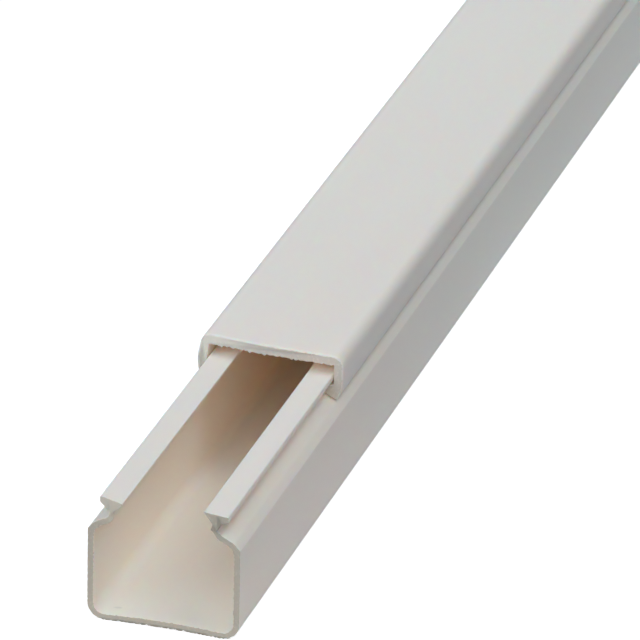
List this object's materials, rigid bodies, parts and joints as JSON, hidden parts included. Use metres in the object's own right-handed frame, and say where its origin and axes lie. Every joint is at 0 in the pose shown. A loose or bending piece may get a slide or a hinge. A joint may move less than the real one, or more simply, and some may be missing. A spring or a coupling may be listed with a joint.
{
  "type": "cable trunking",
  "caption": "Square plastic cable trunking: an open channel with barbed rails and a cover that presses over them, shown slid back from the near end.",
  "frame": {"origin": "middle of the channel's back face, which lies on the wall or floor", "axes": "+Y along the trunking, away from the end that the cover is slid back from; +Z out of the back face, towards the cover; +X across"},
  "size_m": [0.025, 1.054, 0.025],
  "materials": {
    "channel_plastic": "satin off-white extruded PVC with sawn ends",
    "cover_plastic": "satin off-white extruded PVC with sawn ends"
  },
  "bodies": {
    "channel": {"base_channel": "channel_plastic"},
    "cover": {"snap_cover": "cover_plastic"}
  },
  "joints": [
    {"name": "cover_slide", "type": "slide", "parent": "channel", "child": "cover", "axis": [0, 1, 0], "range_m": [-0.054, 0.446]}
  ]
}
